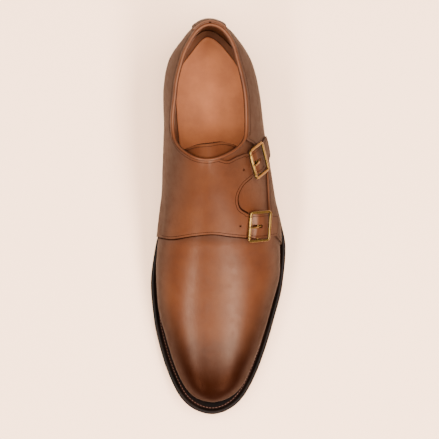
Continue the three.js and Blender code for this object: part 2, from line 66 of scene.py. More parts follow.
# Rows of the last from heel to toe: med and lat are x on the inner and outer side, at the foot line and
# where it is widest; ridge is its top; full is the roundness of the section between them.
LAST = {
    "y": [150, 137, 120, 97, 70, 44, 18, -10, -38, -66, -92, -114, -130, -138.2, -141.4],
    "footMed": [-9.4, -25.8, -36, -39.6, -36.8, -34.6, -37, -43.4, -47.2, -46, -39.8, -33, -25.4, -17.4, -5],
    "footLat": [-9.4, 10.2, 21.2, 27.2, 30.4, 34.4, 38.6, 45, 46.2, 40.2, 32.8, 24.8, 16.6, 7.4, -5],
    "wideMed": [
        -9.4, -27.6, -38.6, -42.3, -41.7, -42.4, -43.8, -46.8, -48.9, -47.4, -41, -34.1, -26.3, -18.1, -5,
    ],
    "wideLat": [-9.4, 11.8, 23.4, 29.3, 32.8, 37.2, 41.6, 47, 47.9, 41.7, 34.1, 25.8, 17.6, 8.1, -5],
    "wideZ": [52, 48, 44, 40, 38, 38, 33, 26, 21, 19.5, 19.5, 20, 21, 21.5, 22],
    "ridgeX": [-9.4, -10, -11, -12.5, -12.5, -11.5, -10.5, -9.5, -8.5, -7.5, -6.5, -5.5, -5, -5, -5],
    "ridgeZ": [110, 110, 110, 110, 110, 100.5, 84, 68.5, 56, 47.5, 42.5, 39, 35.5, 31.5, 27],
    "fullMed": [3.2, 2.1, 1.66, 1.72, 2.1, 2, 2, 2.05, 2.15, 2.25, 2.3, 2.35, 2.35, 2.35, 2.35],
    "fullLat": [3.2, 2, 1.54, 1.58, 1.5, 1.55, 1.78, 2.05, 2.15, 2.25, 2.3, 2.35, 2.35, 2.35, 2.35],
}
SOLE = {
    "y": [149.5, 137, 120, 97, 76, 50, 25, 0, -22, -50, -78, -103, -125, -141, -151.9],
    "med": [-9.4, -27.6, -37.6, -41.4, -39.4, -36.2, -38, -44, -49.6, -52.9, -50.5, -45, -37.2, -27.9, -5],
    "lat": [-9.4, 12, 23, 29.2, 32, 36.2, 42.4, 49.2, 53.4, 51, 44.2, 36.6, 27.6, 17.4, -5],
    "under": [25.6, 25.4, 25, 24, 22.2, 16.4, 9, 2.8, 0, 0, 0, 1.5, 4.4, 7, 9],
}
TOP_LINE = {
    "y": [30, 40, 43.5, 49, 54, 62, 76, 97, 120, 138, 150, 165],
    "z": [120, 106, 101, 94.5, 88.5, 81.5, 78.8, 80.5, 84.5, 88.5, 90.5, 91],
}
SEAM_X = LAST["ridgeX"][0]

# The CAD model is centred on its box, so the sole's outline gives the shift.
SOLE_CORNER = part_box("outsole")[0]
SHIFT = Vector((SOLE_CORNER[0] * 1000 - min(SOLE["med"]), SOLE_CORNER[1] * 1000 - SOLE["y"][-1], 0))


# --- curves through the tables
def smooth(xs, ys):
    """Cubic through the rows that never overshoots them."""
    xs = np.array(xs, float)
    ys = np.array(ys, float)
    slopes = np.diff(ys) / np.diff(xs)
    before = np.concatenate([slopes[:1], slopes])
    after = np.concatenate([slopes, slopes[-1:]])
    total = before + after
    tangents = np.where(before * after <= 0, 0, 2 * before * after / np.where(total == 0, 1, total))

    def curve(x):
        x = np.asarray(x, float)
        i = np.clip(np.searchsorted(xs, x, side="left") - 1, 0, len(xs) - 2)
        step = xs[i + 1] - xs[i]
        s = np.clip((x - xs[i]) / step, 0, 1)
        rise = ys[i + 1] - ys[i]
        a = tangents[i] * step
        b = tangents[i + 1] * step
        return ys[i] + s * (a + s * (3 * rise - 2 * a - b + s * (a + b - 2 * rise)))

    return curve


def smoothstep(low, high, x):
    t = np.clip((np.asarray(x, float) - low) / (high - low), 0, 1)
    return t * t * (3 - 2 * t)


def unit(vectors):
    return vectors / np.linalg.norm(vectors, axis=-1, keepdims=True)


def measured(rows):
    """Rows that start with a place, without repeated places, and the length along them."""
    gaps = np.linalg.norm(np.diff(rows[:, :3], axis=0), axis=1)
    rows = rows[np.concatenate([[True], gaps > 1e-6])]
    steps = np.linalg.norm(np.diff(rows[:, :3], axis=0), axis=1)
    return rows, np.concatenate([[0], np.cumsum(steps)])


class Table:
    """Columns over the angle that is 0 at the heel end and pi at the toe end."""

    def __init__(self, rows):
        self.mid = (rows["y"][0] + rows["y"][-1]) / 2
        self.half = (rows["y"][0] - rows["y"][-1]) / 2
        angles = [float(self.angle(y)) for y in rows["y"]]
        for column, values in rows.items():
            if column != "y":
                setattr(self, column, smooth(angles, values))

    def angle(self, y):
        return np.arccos(np.clip((np.asarray(y, float) - self.mid) / self.half, -1, 1))

    def y(self, angle):
        return self.mid + self.half * np.cos(angle)


last = Table(LAST)
sole = Table(SOLE)
top_line = smooth(TOP_LINE["y"], TOP_LINE["z"])


def under_sole(y):
    return sole.under(sole.angle(y))


def foot_line(y):
    return under_sole(y) + OUTSOLE + GAP + WELT + GAP


# --- surface of the last
def last_point(angle, side):
    """side runs from -1 at the medial foot line over 0 at the ridge to 1 at the lateral one."""
    angle, side = np.broadcast_arrays(np.asarray(angle, float), np.asarray(side, float))
    reach = np.abs(side)
    lateral = side > 0
    wide_x = np.where(lateral, last.wideLat(angle), last.wideMed(angle))
    foot_x = np.where(lateral, last.footLat(angle), last.footMed(angle))
    full = np.where(lateral, last.fullLat(angle), last.fullMed(angle))
    wide_z = last.wideZ(angle)
    ridge_x = last.ridgeX(angle)
    y = last.y(angle)
    turn = np.pi / 2 * np.minimum(reach / WIDEST_AT, 1)
    tuck = np.clip((reach - WIDEST_AT) / (1 - WIDEST_AT), 0, None)
    x = ridge_x + (wide_x - ridge_x) * np.sin(turn) ** (2 / full) + (foot_x - wide_x) * tuck * tuck
    rise = np.maximum(np.cos(turn), 0) ** (2 / full)
    z = wide_z + (last.ridgeZ(angle) - wide_z) * rise + (foot_line(y) - wide_z) * tuck
    above = (z - HEEL_WIDEST) / LEAN_OVER
    y = y - HEEL_LEAN * above * above * smoothstep(60, 150, y)
    return np.stack([x, y, z], axis=-1)


def at_end(angle):
    return (angle < 1e-6) | (angle > np.pi - 1e-6)


def shell_normal(angle, side):
    ends = at_end(angle)
    across = np.where(ends, np.abs(side), side)
    step = 0.01
    a = np.clip(angle, 0.04, np.pi - 0.04)
    s = np.clip(across, -1 + step, 1 - step)
    along = last_point(a + step, s) - last_point(a - step, s)
    over = last_point(a, s + step) - last_point(a, s - step)
    normal = np.cross(along, over)
    normal[..., 0] = np.where(ends, 0, normal[..., 0])
    return unit(normal)


def shell_point(angle, side, offset):
    """The last's surface moved outwards by an offset along its normal."""
    angle, side = np.broadcast_arrays(np.asarray(angle, float), np.asarray(side, float))
    point = last_point(angle, np.where(at_end(angle), np.abs(side), side))
    point = point + shell_normal(angle, side) * np.asarray(offset, float)[..., None]
    foot = np.abs(side) > 1 - 1e-9
    point[..., 2] = np.where(foot, foot_line(point[..., 1]), point[..., 2])
    return point


# --- regions of the surface
# A region is a function of the points that is negative inside, in mm from its edge.
def above_top_line(p):
    y = p[..., 1]
    slope = top_line(y + 0.5) - top_line(y - 0.5)
    return (p[..., 2] - top_line(y)) / np.sqrt(1 + slope * slope)


def squared_distance(px, py, start, end):
    """Square of the distance from points to a stretch of line."""
    (ax, ay), (bx, by) = start, end
    dx, dy = bx - ax, by - ay
    t = np.clip(((px - ax) * dx + (py - ay) * dy) / (dx * dx + dy * dy), 0, 1)
    return (px - ax - t * dx) ** 2 + (py - ay - t * dy) ** 2


def outline_distance(plan, points):
    """Signed distance in plan to a closed outline, negative inside."""
    px, py = plan[..., 0], plan[..., 1]
    best = np.full(px.shape, 1e9)
    inside = np.zeros(px.shape, bool)
    for (ax, ay), (bx, by) in zip(points, points[1:] + points[:1]):
        if math.hypot(bx - ax, by - ay) < 1e-6:
            continue
        best = np.minimum(best, squared_distance(px, py, (ax, ay), (bx, by)))
        if ay != by:
            inside ^= ((ay > py) != (by > py)) & (px < (bx - ax) * (py - ay) / (by - ay) + ax)
    return np.where(inside, -1, 1) * np.sqrt(best)


def spline(points, steps=8):
    """Smooth curve through the points, ends included."""
    pts = [np.array(p, float) for p in points]
    pts = [2 * pts[0] - pts[1]] + pts + [2 * pts[-1] - pts[-2]]
    out = []
    for a, b, c, d in zip(pts, pts[1:], pts[2:], pts[3:]):
        for k in range(steps):
            t = k / steps
            bend = (2 * a - 5 * b + 4 * c - d) * t * t + (3 * b - a - 3 * c + d) * t ** 3
            out.append(0.5 * (2 * b + (c - a) * t + bend))
    out.append(pts[-2])
    return [tuple(p) for p in out]


# Outlines of the pieces in plan (x, y), and for the outer quarter from the side (y, z).
FLAP_FRONT = spline([(-46, -13), (-36, -14), (-22, -11.5), (-7, -10), (6, -11.5), (19, -12.8)])
FLAP_NOTCH = spline([(19, 5), (13.5, 8.5), (11.3, 14), (11.8, 20), (15.5, 27), (22, 32.5)])
FLAP_BACK = spline([(17.5, 50), (10, 47), (3, 43.8), (-3, 45)])
PAST_HEEL = 175
PAST_SIDE = -75
MEDIAL_QUARTER = (
    [(PAST_SIDE, -13)] + FLAP_FRONT + FLAP_NOTCH + FLAP_BACK
    + [(SEAM_X - GAP, 70), (SEAM_X - GAP, PAST_HEEL), (PAST_SIDE, PAST_HEEL)]
)
LATERAL_QUARTER = [
    (63, 100), (58, 75), (51, 59), (41, 52), (9, 53), (-8, 49), (-15, 38), (-19, 22), (-20, 0),
    (PAST_HEEL, 0), (PAST_HEEL, 100),
]
STAY_FRONT = 120
TONGUE_EDGE = spline([(15, 50), (11, 55.5), (1, 57), (-10, 55), (-23, 54), (-33, 51)])
TONGUE_OUTLINE = [(-33, 12), (15, 12)] + TONGUE_EDGE
TONGUE_FLOOR = 48


def lateral_quarter(p):
    region = outline_distance(p[..., 1:], LATERAL_QUARTER)
    return np.maximum(np.maximum(region, SEAM_X + GAP - p[..., 0]), above_top_line(p))


def back_stay(p):
    strip = np.abs(p[..., 0] - SEAM_X) - BACK_STAY_WIDTH / 2
    return np.maximum(np.maximum(strip, STAY_FRONT - p[..., 1]), above_top_line(p))


def tongue(p):
    return np.maximum(outline_distance(p[..., :2], TONGUE_OUTLINE), TONGUE_FLOOR - p[..., 2])


ON_EDGE = 0.02


class Grid:
    """Grid over the last: its two end rows, at heel and toe, are one line where its sides mirror."""

    def __init__(self, angles, sides):
        self.angles = angles
        self.sides = sides
        self.a, self.s = np.meshgrid(self.angles, self.sides, indexing="ij")
        self.even = np.allclose(sides, -sides[::-1])

    def vertex(self, i, j):
        if self.even and at_end(self.angles[i]) and self.sides[j] < 0:
            j = len(self.sides) - 1 - j
        return i * len(self.sides) + j

    def cut(self, region):
        """The part of the grid inside a region, as (angle, side) vertices and faces."""
        value = region(last_point(self.a, self.s))
        value = np.where(np.abs(value) < ON_EDGE, -ON_EDGE, value)
        flat_a, flat_s, flat_v = self.a.ravel(), self.s.ravel(), value.ravel()
        index = {}
        params = []

        def corner(v):
            if v not in index:
                index[v] = len(params)
                params.append((flat_a[v], flat_s[v]))
            return index[v]

        def crossing(v, w):
            key = (min(v, w), max(v, w))
            if key not in index:
                index[key] = len(params)
                t = flat_v[key[0]] / (flat_v[key[0]] - flat_v[key[1]])
                a = flat_a[key[0]] + t * (flat_a[key[1]] - flat_a[key[0]])
                s = flat_s[key[0]] + t * (flat_s[key[1]] - flat_s[key[0]])
                params.append((a, s))
            return index[key]

        faces = []
        inside = value < 0
        busy = inside[:-1, :-1] | inside[1:, :-1] | inside[:-1, 1:] | inside[1:, 1:]
        for i, j in zip(*np.nonzero(busy)):
            loop = [self.vertex(i + di, j + dj) for di, dj in ((0, 0), (1, 0), (1, 1), (0, 1))]
            face = []
            for v, w in zip(loop, loop[1:] + loop[:1]):
                if flat_v[v] < 0:
                    face.append(corner(v))
                if v != w and (flat_v[v] < 0) != (flat_v[w] < 0):
                    face.append(crossing(v, w))
            tidy = [v for k, v in enumerate(face) if v != face[k - 1]]
            if len(tidy) > 2:
                faces.append(tidy)
        return np.array(params), faces


def boundary(faces):
    """Directed edges that only one face has, as pairs (from, to)."""
    edges = {}
    for face in faces:
        for v, w in zip(face, face[1:] + face[:1]):
            if (w, v) in edges:
                del edges[(w, v)]
            else:
                edges[(v, w)] = True
    return list(edges)


def loops_of(edges):
    """The edges strung together into closed loops of vertices."""
    follow = {}
    for v, w in edges:
        follow.setdefault(v, []).append(w)
    loops = []
    while follow:
        loop = [next(iter(follow))]
        while loop[-1] in follow:
            here = loop[-1]
            loop.append(follow[here].pop())
            if not follow[here]:
                del follow[here]
            if loop[-1] == loop[0]:
                loop.pop()
                break
        loops.append(loop)
    return loops


# --- objects
def to_scene(p):
    return [((q[0] + SHIFT.x) / 1000, (q[1] + SHIFT.y) / 1000, q[2] / 1000) for q in p]


def placed(name, data):
    obj = bpy.data.objects.new(name, data)
    bpy.context.scene.collection.objects.link(obj)
    return obj


def mesh_object(name, points, faces, materials, face_slots=None, smooth_angle=40):
    """A closed mesh from points in mm, with sharp edges over an angle in degrees."""
    mesh = bpy.data.meshes.new(name)
    mesh.from_pydata(to_scene(points), [], [tuple(int(v) for v in f) for f in faces])
    for material in materials:
        mesh.materials.append(material)
    if face_slots is not None:
        mesh.polygons.foreach_set("material_index", np.array(face_slots, np.int32))
    bm = bmesh.new()
    bm.from_mesh(mesh)
    bmesh.ops.remove_doubles(bm, verts=bm.verts, dist=2e-6)
    bmesh.ops.dissolve_degenerate(bm, dist=1e-7, edges=bm.edges)
    bmesh.ops.recalc_face_normals(bm, faces=bm.faces)
    bm.to_mesh(mesh)
    bm.free()
    mesh.shade_smooth()
    mesh.set_sharp_from_angle(angle=math.radians(smooth_angle))
    return placed(name, mesh)


def soften(obj, width, segments=2):
    """Rounds the cut edges of a piece of leather."""
    bevel = obj.modifiers.new("edge", "BEVEL")
    bevel.width = width / 1000
    bevel.segments = segments
    bevel.limit_method = "ANGLE"
    bevel.angle_limit = math.radians(50)
    bevel.use_clamp_overlap = True
    bevel.harden_normals = False


def height_of(level, a, s):
    return level(a, s) if callable(level) else np.full(len(a), float(level))


def leather_sheet(name, grid, region, low, high, materials):
    """A closed piece of leather between two heights over a region of the last."""
    params, faces = grid.cut(region)
    a, s = params[:, 0], params[:, 1]
    outer = shell_point(a, s, height_of(high, a, s))
    inner = shell_point(a, s, height_of(low, a, s))
    count = len(a)
    walls = [(v, w, w + count, v + count) for v, w in boundary(faces)]
    under = [tuple(v + count for v in reversed(face)) for face in faces]
    slots = [0] * len(faces) + [len(materials) - 1] * len(under) + [0] * len(walls)
    return mesh_object(name, np.concatenate([outer, inner]), list(faces) + under + walls, materials, slots)


# --- paths on the surface
def resample(points, spacing, closed=False):
    """The same line with evenly spaced points."""
    pts = np.array(points, float)
    if closed:
        pts = np.concatenate([pts, pts[:1]])
    pts, length = measured(pts)
    count = max(int(round(length[-1] / spacing)), 2)
    at = np.linspace(0, length[-1], count + 1)
    if closed:
        at = at[:-1]
    return np.stack([np.interp(at, length, pts[:, k]) for k in range(3)], axis=1)


def relax(points, rounds, closed=False):
    """The line with its corners eased."""
    pts = np.array(points, float)
    for _ in range(rounds):
        moved = (np.roll(pts, 1, axis=0) + 2 * pts + np.roll(pts, -1, axis=0)) / 4
        if not closed:
            moved[0], moved[-1] = pts[0], pts[-1]
        pts = moved
    return pts


FOOT_STRIP = 0.985


def contour(grid, region, inset, height, choose):
    """Lines inside a region's edge at a distance, as (points, normals), where choose(p) holds."""
    params, faces = grid.cut(lambda p: region(p) + inset)
    runs = []
    for loop in loops_of(boundary(faces)):
        a, s = params[loop, 0], params[loop, 1]
        p = shell_point(a, s, height_of(height, a, s))
        n = shell_normal(a, s)
        good = choose(p) & (np.abs(s) < FOOT_STRIP)
        if good.all():
            runs.append((p, n))
            continue
        start = int(np.argmin(good))
        order = np.roll(np.arange(len(good)), -start)
        runs += [(p[run], n[run]) for run in stretches(order, good)]
    return [run for run in runs if len(run[0]) > 3]


def stretches(order, good):
    """The unbroken runs of stops in an order that are good."""
    runs = [[]]
    for k in order:
        if good[k]:
            runs[-1].append(k)
        elif runs[-1]:
            runs.append([])
    return [run for run in runs if run]


def ring_faces(rings, sides, closed=False):
    """Faces between rings of equal size, one after the other; an open row has a cap at both ends."""
    faces = []
    for k in range(rings if closed else rings - 1):
        here, there = k * sides, (k + 1) % rings * sides
        for j in range(sides):
            beside = (j + 1) % sides
            faces.append((here + j, here + beside, there + beside, there + j))
    if not closed:
        faces += [tuple(reversed(range(sides))), tuple((rings - 1) * sides + j for j in range(sides))]
    return faces


def tube(points, radius, normals=None, flat=1.0, sides=10, closed=False):
    """Vertices and faces of a tube with round or flattened section along points."""
    pts = np.array(points, float)
    count = len(pts)
    if closed:
        tangents = unit(np.roll(pts, -1, axis=0) - np.roll(pts, 1, axis=0))
    else:
        tangents = unit(np.gradient(pts, axis=0))
    radii = np.broadcast_to(np.asarray(radius, float), (count,))
    verts = []
    up = np.array([0.1, 0.2, 1.0])
    for k in range(count):
        across = unit(np.cross(tangents[k], up if normals is None else normals[k]))
        up = np.cross(across, tangents[k])
        for j in range(sides):
            t = 2 * math.pi * j / sides
            verts.append(pts[k] + radii[k] * (math.cos(t) * across + flat * math.sin(t) * up))
    return np.array(verts), ring_faces(count, sides, closed)


def join(parts):
    points, faces, start = [], [], 0
    for p, f in parts:
        points.append(np.asarray(p))
        faces += [tuple(v + start for v in face) for face in f]
        start += len(p)
    return np.concatenate(points), faces


def capsule(length, width, height, rings=5, sides=6):
    """A stitch lying along X."""
    points = []
    for i in range(rings):
        t = -math.pi / 2 + math.pi * i / (rings - 1)
        r = max(math.cos(t), 0.25)
        for j in range(sides):
            u = 2 * math.pi * j / sides
            points.append((length * math.sin(t), width * r * math.cos(u), height * r * math.sin(u)))
    return np.array(points) / 2, ring_faces(rings, sides)


def stitches(runs, pitch, length, width):
    """Stitches laid along runs of (points, normals)."""
    base, faces = capsule(length, width, width * 0.8)
    parts = []
    for p, n in runs:
        rows, run = measured(np.concatenate([p, n], axis=1))
        count = int(run[-1] / pitch)
        for k in range(count):
            at = (k + 0.5) * run[-1] / count
            low, high = (
                np.array([np.interp(at + half, run, rows[:, c]) for c in range(6)])
                for half in (-length / 2, length / 2)
            )
            along = unit(high[:3] - low[:3])
            up = low[3:] + high[3:]
            up = unit(up - along * up.dot(along))
            across = np.cross(up, along)
            centre = (low[:3] + high[:3]) / 2
            parts.append((centre + base[:, :1] * along + base[:, 1:2] * across + base[:, 2:3] * up, faces))
    return join(parts)


# --- materials
class Surface:
    """A procedural material being put together."""

    def __init__(self, name):
        self.material = bpy.data.materials.new(name)
        self.material.use_nodes = True
        self.nodes = self.material.node_tree.nodes
        self.links = self.material.node_tree.links
        self.shader = self.nodes["Principled BSDF"]
        self.coords = self.node("ShaderNodeTexCoord", {}, "Object")

    def put(self, socket, value):
        """A plain value is set on the socket, and an output is linked to it."""
        if isinstance(value, tuple):
            socket.default_value = (*value, 1)
        elif isinstance(value, (int, float)):
            socket.default_value = value
        else:
            self.links.new(value, socket)

    def set(self, name, value):
        self.put(self.shader.inputs[name], value)

    def node(self, kind, inputs, output, **settings):
        node = self.nodes.new(kind)
        for key, value in settings.items():
            setattr(node, key, value)
        for key, value in inputs.items():
            self.put(node.inputs[key], value)
        return node.outputs[output]

    def split(self, vector):
        """X, Y and Z of a vector."""
        node = self.nodes.new("ShaderNodeSeparateXYZ")
        self.links.new(vector, node.inputs[0])
        return tuple(node.outputs)

    def noise(self, scale, detail=3.0, rough=0.55):
        inputs = {"Vector": self.coords, "Scale": scale, "Detail": detail, "Roughness": rough}
        return self.node("ShaderNodeTexNoise", inputs, "Fac")

    def ramp(self, value, low, high, to_low=0.0, to_high=1.0):
        inputs = {"Value": value, "From Min": low, "From Max": high, "To Min": to_low, "To Max": to_high}
        return self.node("ShaderNodeMapRange", inputs, "Result", interpolation_type="SMOOTHSTEP")

    def math(self, operation, a, b):
        return self.node("ShaderNodeMath", {0: a, 1: b}, 0, operation=operation)

    def mix(self, factor, a, b):
        return self.node("ShaderNodeMix", {"Factor": factor, "A": a, "B": b}, "Result", data_type="RGBA")

    def bump(self, height, distance, strength, **below):
        inputs = {"Height": height, "Distance": distance, "Strength": strength, **below}
        return self.node("ShaderNodeBump", inputs, "Normal")


COGNAC = (0.0520, 0.0130, 0.0036)
COGNAC_DEEP = (0.0310, 0.0066, 0.0017)
COGNAC_LIGHT = (0.0660, 0.0185, 0.0054)
BURNISH = (0.0065, 0.0010, 0.0002)
# Painted shade: the brown that the sides of the calf and the vamp below the flap's edge darken to.
PAINTED_SHADE_BROWN = (0.0120, 0.0026, 0.0007)
SHEEN_WARM = (1.0, 0.79, 0.63)
SHEEN_DARK = (0.42, 0.15, 0.07)
BRASS_DARK = (0.030, 0.0145, 0.0033)
BRASS_MID = (0.080, 0.041, 0.0098)
BRASS_WORN = (0.19, 0.108, 0.030)
# Places where the colour changes, in metres in the scene: the burnished toe, the darkening low down
# and the painted shadow on the vamp below the flap's front edge.
TOE_DYE = (-0.078, -0.130)
TOE_SHEEN = (-0.097, -0.128)
TOE_MIDDLE_X = -0.0055
TOE_BOW = 26
LOW_EDGE_Z = (0.034, 0.012)
FLAP_SHADE_Y = (-0.0215, -0.0125)
FLAP_COVERS_Y = (-0.004, -0.010)
FLAP_SHADE_X = (0.030, 0.022)


def calf(name, burnished=True, shade=1.0, roughness=0.36, polish=0.22, painted_flap_shadow=False):
    """Calf: pores, cloudy dye, painted shade down the sides; when burnished, darker at the toe and low down.

    The last flag paints a shadow on the vamp below the flap's front edge; shade scales the whole colour."""
    made = Surface(name)
    x, y, z = made.split(made.coords)
    upward = made.split(made.node("ShaderNodeNewGeometry", {}, "Normal"))[2]
    cloud = made.noise(28, 4, 0.6)
    fine = made.noise(170, 3, 0.6)
    base, deep, light = (tuple(c * shade for c in dye) for dye in (COGNAC, COGNAC_DEEP, COGNAC_LIGHT))
    colour = made.mix(made.ramp(cloud, 0.42, 0.75), base, light)
    colour = made.mix(made.ramp(cloud, 0.5, 0.22), colour, deep)
    colour = made.mix(made.ramp(fine, 0.45, 0.8, 0, 0.25), colour, deep)
    sheen = SHEEN_WARM
    if burnished:
        colour = made.mix(made.ramp(z, *LOW_EDGE_Z, 0, 0.55), colour, deep)
        from_middle = made.math("SUBTRACT", x, TOE_MIDDLE_X)
        bow = made.math("MULTIPLY", made.math("MULTIPLY", from_middle, from_middle), TOE_BOW)
        wobble = made.math("MULTIPLY", made.math("SUBTRACT", cloud, 0.5), 0.012)
        depth = made.math("ADD", made.math("SUBTRACT", y, bow), wobble)
        colour = made.mix(made.ramp(depth, *TOE_DYE), colour, BURNISH)
        sheen = made.mix(made.ramp(depth, *TOE_SHEEN), SHEEN_WARM, SHEEN_DARK)
    # Painted shadow on the vamp below the flap's front edge.
    if painted_flap_shadow:
        flap_shadow_at = made.math("MULTIPLY", made.ramp(y, *FLAP_SHADE_Y, 0, 0.62), made.ramp(x, *FLAP_SHADE_X))
        flap_shadow_at = made.math("MULTIPLY", flap_shadow_at, made.ramp(y, *FLAP_COVERS_Y))
        colour = made.mix(flap_shadow_at, colour, PAINTED_SHADE_BROWN)
    # Painted shade: the colour darkens down the sides as they turn away from up.
    made.set("Base Color", made.mix(made.ramp(upward, 0.985, 0.32, 0, 0.86), colour, PAINTED_SHADE_BROWN))
    gloss = made.ramp(fine, 0.3, 0.8, roughness - 0.04, roughness + 0.06)
    made.set("Roughness", made.math("ADD", gloss, made.ramp(upward, 0.93, 0.35, 0, 0.40)))
    made.set("Specular IOR Level", polish)
    made.set("Specular Tint", sheen)
    pores = made.node("ShaderNodeTexVoronoi", {"Scale": 1500, "Vector": made.coords}, "Distance")
    grain = made.bump(made.ramp(pores, 0.0, 0.6), 0.00004, 0.35)
    made.set("Normal", made.bump(fine, 0.00035, 0.16, Normal=grain))
    return made.material


def plain_leather(name, dark, light, roughness, scale=60, grain=900, depth=0.00006, specular=0.25):
    made = Surface(name)
    cloud = made.noise(scale, 4, 0.6)
    fine = made.noise(grain, 3, 0.6)
    made.set("Base Color", made.mix(made.ramp(cloud, 0.3, 0.72), dark, light))
    made.set("Specular IOR Level", specular)
    made.set("Roughness", made.ramp(fine, 0.3, 0.7, roughness - 0.08, roughness + 0.08))
    made.set("Normal", made.bump(fine, depth, 0.6))
    return made.material


def stacked_edge(name, dark, light, layer):
    """Edge of stacked leather: thin level layers along Z."""
    made = Surface(name)
    inputs = {"Vector": made.coords, "Scale": 1 / layer, "Distortion": 1.2, "Detail": 2, "Detail Scale": 1.5}
    layers = made.node("ShaderNodeTexWave", inputs, "Fac", bands_direction="Z")
    cloud = made.noise(90, 4, 0.6)
    colour = made.mix(made.ramp(layers, 0.2, 0.9, 0, 0.5), dark, light)
    made.set("Base Color", made.mix(made.ramp(cloud, 0.35, 0.8, 0, 0.5), colour, dark))
    made.set("Roughness", 0.42)
    made.set("Specular IOR Level", 0.12)
    made.set("Normal", made.bump(layers, 0.00008, 0.5))
    return made.material


def antique_brass(name):
    made = Surface(name)
    cloud = made.noise(420, 4, 0.65)
    worn = made.ramp(made.node("ShaderNodeNewGeometry", {}, "Pointiness"), 0.47, 0.56)
    colour = made.mix(made.ramp(cloud, 0.3, 0.7), BRASS_DARK, BRASS_MID)
    made.set("Base Color", made.mix(worn, colour, BRASS_WORN))
    made.set("Metallic", 1.0)
    made.set("Roughness", made.ramp(cloud, 0.3, 0.75, 0.26, 0.42))
    made.set("Normal", made.bump(cloud, 0.00005, 0.25))
    return made.material


UPPER_LEATHER = calf("calf_upper", painted_flap_shadow=True)
FLAP_LEATHER = calf("calf_flap", roughness=0.38)
# A darker copy of the calf: painted shade on the tongue down in the throat.
TONGUE_LEATHER = calf("calf_tongue", shade=0.85, roughness=0.5, polish=0.08)
# A lighter copy of the calf: painted highlight along the collar's rolled edge.
RIM_LEATHER = calf("calf_rim", burnished=False, shade=1.15, roughness=0.42)
CUT_EDGE = plain_leather("cut_edge", (0.022, 0.0062, 0.0024), (0.036, 0.0105, 0.0040), 0.5)
# The lining and the insole board are dark partly in their own colour and partly as painted shade inside the
# shoe.
LINING_AND_SHADE = plain_leather("lining_leather", (0.060, 0.0175, 0.0055), (0.085, 0.026, 0.0085), 0.6, specular=0.08)
SOCK = plain_leather("sock_leather", (0.200, 0.056, 0.0165), (0.250, 0.074, 0.0230), 0.55, specular=0.12)
SOLE_DARK = plain_leather("sole_dark", (0.0010, 0.0004, 0.0002), (0.0026, 0.0009, 0.0004), 0.5, specular=0.02)
WELT_EDGE = plain_leather("welt_edge", (0.0026, 0.0012, 0.0007), (0.006, 0.0029, 0.0018), 0.45, specular=0.06)
SOLE_EDGE = stacked_edge("sole_edge", (0.006, 0.0032, 0.0022), (0.017, 0.0095, 0.0065), 0.0016)
HEEL_EDGE = stacked_edge("heel_edge", (0.006, 0.0032, 0.0022), (0.016, 0.009, 0.006), 0.0012)
TREAD = plain_leather("tread_leather", (0.20, 0.11, 0.055), (0.31, 0.18, 0.095), 0.55, 40)
RUBBER = plain_leather("heel_rubber", (0.010, 0.010, 0.010), (0.020, 0.019, 0.018), 0.75, 60, 1400, 0.0001)
BRASS = antique_brass("brass_antique")
THREAD = plain_leather("thread_brown", (0.0085, 0.0020, 0.0007), (0.0150, 0.0038, 0.0013), 0.6, 300, 3000,
                       specular=0.05)
WELT_THREAD = plain_leather("thread_welt", (0.040, 0.014, 0.0080), (0.066, 0.024, 0.014), 0.6, 300, 3000)
# Near-black for the stitch grooves and the band under the flap's edge: painted shade.
RECESS_SHADE = plain_leather("recess_shade", (0.0060, 0.0015, 0.0005), (0.0090, 0.0024, 0.0009), 0.8, specular=0.01)


def finish_piece(obj, slot, *nodes):
    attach(obj, "root")
    if nodes:
        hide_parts(*nodes)


# --- folds worked into the leather
# Plan lines of soft troughs and ridges: points, height in mm, half width in mm.
FOLDS = [
    ([(-45, 34), (-42, 10), (-44, -9)], -0.40, 2.0),
    ([(-39, 40), (-36.5, 14), (-38, -6)], 0.22, 3.0),
    ([(-36, -22), (-14, -19), (4, -20)], -0.16, 3.5),
    ([(12, -20), (30, -25), (42, -24)], -0.20, 3.0),
    ([(-6, 40), (3, 37), (12, 39)], -0.18, 3.0),
    ([(26, 66), (30, 84), (31, 104)], -0.30, 3.5),
    ([(-42, 70), (-43.5, 88), (-42, 106)], -0.30, 3.5),
]


def folds(p):
    height = np.zeros(p.shape[:-1])
    for points, rise, width in FOLDS:
        best = np.full(p.shape[:-1], 1e9)
        for start, end in zip(points, points[1:]):
            best = np.minimum(best, squared_distance(p[..., 0], p[..., 1], start, end))
        height += rise * np.exp(-best / width ** 2)
    return height


def vamp_top(a, s):
    """The vamp's own folds lie in front of the flap only."""
    p = last_point(a, s)
    return folds(p) * smoothstep(-12, -17, p[..., 1])


# --- straps laid on the surface
STRAP_HALF = 9
STRAP_TIP_HALF = 7.75
STRAP = 1.2
STRAP_CROWN = 0.3
TIP_CORNER = 2.2
TAPER_AFTER_BUCKLE = 4
FRAME_LONG = 20
FRAME_WIDE = 24.4
FRAME_BAR = 2.2
FRAME_THICK = 2
FRAME_LOW = 1.25
FRAME_MID = FRAME_LOW + FRAME_THICK / 2
CENTRE_BAR = 1.8
ROLLER_LONG = 15.2
ROLLER_RADIUS = 1.3
ROD_RADIUS = 0.6
PRONG = 1.5
PRONG_LOW = FRAME_MID + ROLLER_RADIUS + GAP
BAR_AT = FRAME_LONG / 2 - FRAME_BAR / 2
QUARTER_TOP = GAP + QUARTER
SLOT_FROM = -5.9
SLOT_TO = 2.5
SLOT_HALF = 1.25
SPARE_HOLE_RADIUS = 1.1
OVER_BAR = GAP + CENTRE_BAR + GAP + 0.2
ON_QUARTER = QUARTER_TOP + 0.4


def strap_lift(from_buckle):
    """Height of a strap's underside: flat on the flap, over the centre bar, then on the quarter."""
    outer = np.where(from_buckle < 0, GAP, ON_QUARTER)
    return OVER_BAR + (outer - OVER_BAR) * smoothstep(0.12, 0.95, np.abs(from_buckle) / BAR_AT)


